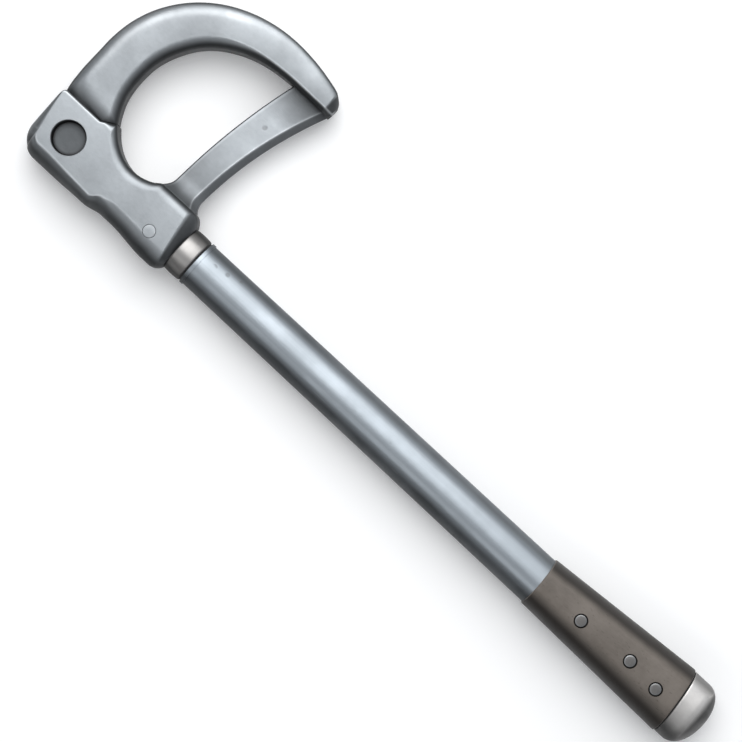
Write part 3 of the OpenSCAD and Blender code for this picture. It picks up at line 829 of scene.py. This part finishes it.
# Dark colour of the painted shade where tone is 1
wall = grey(0.04, COOL)
head_steel = worn_steel("head_steel", grey(0.305, COOL), wall, 0.42, 0.4, painted_shade)
bow_steel = worn_steel("bow_steel", grey(0.29, COOL), wall, 0.40, 1.9, painted_shade, rim=0.68)
blade_steel = worn_steel("blade_steel", grey(0.365, COOL), grey(0.05, COOL), 0.40, 1.2,
                         painted_shade)
# Tube tone: painted shade on its flanks, full on the -Y side and partial on the +Y side
tube_steel = worn_steel("tube_steel", grey(0.4, COLD), grey(0.055, COLD), 0.40, 0.1,
                        lambda n: n.flanks((-0.74, -0.36), (0.5, 0.84), 0.8), DRAWN)
# Ferrule tone: painted shade on the sleeve's sides
ferrule_steel = worn_steel("ferrule_steel", grey(0.35, WARM), grey(0.035, WARM), 0.42, 1.4,
                           lambda n: n.sideways(0.45, 1.0), (500, 60, 60))
cap_steel = worn_steel("cap_steel", grey(0.76, WARM), grey(0.05), 0.39, 0.7, cap_painted_shade)
pin_steel = worn_steel("pin_steel", grey(0.1, COOL), grey(0.02), 0.45, 0.9, painted_shade)
rivet_steel = worn_steel("rivet_steel", grey(0.175, WARM), grey(0.02), 0.42, 2.1, painted_shade,
                         rim=0.45)
brass = plain("washer_brass", (0.5, 0.33, 0.12, 1), 0.35, 0.95)
fibre = plain("black_fibre", grey(0.012), 0.75)
wood = grip_material()

set_material(build_head(), head_steel)
set_material(build_bow(), bow_steel)
set_material(build_blade(), blade_steel)
set_material(build_ferrule(), ferrule_steel)
set_material(build_scale("grip_front", "grip_scale_front", 0, 1), wood)
set_material(build_scale("grip_back", "grip_scale_back", 180, -1), wood)
set_material(build_cap(), cap_steel)
pivot_pin, blade_pin = build_pins()
set_material(pivot_pin, pin_steel)
set_material(blade_pin, head_steel)
for rivet in build_rivets():
    set_material(rivet, rivet_steel)

by_node = {
    "friction_washer_front": brass, "friction_washer_back": brass, "seal_washer": fibre,
    "cap_washer": fibre, "shaft_tube": tube_steel, "grip_tang": tube_steel,
}
for node_name, material in by_node.items():
    set_material(frame["nodes"][node_name], material)
edge = frame["nodes"]["shaft_tube"].modifiers.new("edge", "BEVEL")
edge.width, edge.segments, edge.limit_method = 0.5 * MM, 3, "ANGLE"
edge.angle_limit = math.radians(50)


# ---- stage -------------------------------------------------------------------------

def add_floor():
    mesh = bpy.data.meshes.new("floor")
    size = 3.0
    mesh.from_pydata([(-size, -size, 0), (size, -size, 0), (size, size, 0), (-size, size, 0)],
                     [], [(0, 1, 2, 3)])
    floor = bpy.data.objects.new("floor", mesh)
    bpy.context.scene.collection.objects.link(floor)
    n = Nodes("floor")
    set_material(floor, n.finish(Base_Color=grey(0.9), Roughness=0.9, Emission_Color=grey(1.0),
                                 Emission_Strength=0.12))


def add_area(name, place, aim, size, power):
    light = bpy.data.lights.new(name, "AREA")
    light.shape, light.size, light.size_y = "RECTANGLE", size[0], size[1]
    light.energy = power
    obj = bpy.data.objects.new(name, light)
    bpy.context.scene.collection.objects.link(obj)
    obj.location = place
    direction = np.array(aim) - np.array(place)
    obj.rotation_euler = Vector(direction).to_track_quat("-Z", "Y").to_euler()


def add_world(dim, bright):
    """Studio room that is brightest overhead, towards the large lamp's side."""
    world = bpy.data.worlds.new("studio")
    world.use_nodes = True
    tree = world.node_tree
    background = tree.nodes["Background"]
    background.inputs["Color"].default_value = (0.93, 0.96, 1.0, 1.0)
    place = tree.nodes.new("ShaderNodeTexCoord")
    toward = tree.nodes.new("ShaderNodeVectorMath")
    toward.operation = "DOT_PRODUCT"
    toward.inputs[1].default_value = (0, 0.6, 0.8)
    fade = tree.nodes.new("ShaderNodeMapRange")
    for socket, number in zip(list(fade.inputs)[1:5], (-0.25, 0.75, dim, bright)):
        socket.default_value = number
    tree.links.new(place.outputs["Generated"], toward.inputs[0])
    tree.links.new(toward.outputs["Value"], fade.inputs[0])
    tree.links.new(fade.outputs[0], background.inputs["Strength"])
    bpy.context.scene.world = world


def add_camera():
    """Straight above the tool, turned so that the shaft runs down to the right."""
    distance, view_width, turn = 1.5, 0.4229, math.radians(42.92)
    centre = (DATUM * MM + 0.1154, 0.0226)
    camera = bpy.data.cameras.new("camera")
    camera.sensor_width = 36
    camera.lens = camera.sensor_width * distance / view_width
    camera.clip_start, camera.clip_end = 0.05, 20
    obj = bpy.data.objects.new("camera", camera)
    bpy.context.scene.collection.objects.link(obj)
    obj.location = (*centre, ZC * MM + distance)
    obj.rotation_euler = (0, 0, turn)
    bpy.context.scene.camera = obj


add_floor()
add_world(0.08, 0.58)
add_area("lamp", (-0.62, 0.86, 1.4), (-0.62, 0.02, 0), (1.9, 2.0), 34)
add_area("far_fill", (0.1, -1.2, 1.35), (0.1, 0.02, 0), (2.6, 0.6), 5)
add_camera()
bpy.context.scene.view_settings.view_transform = "Standard"
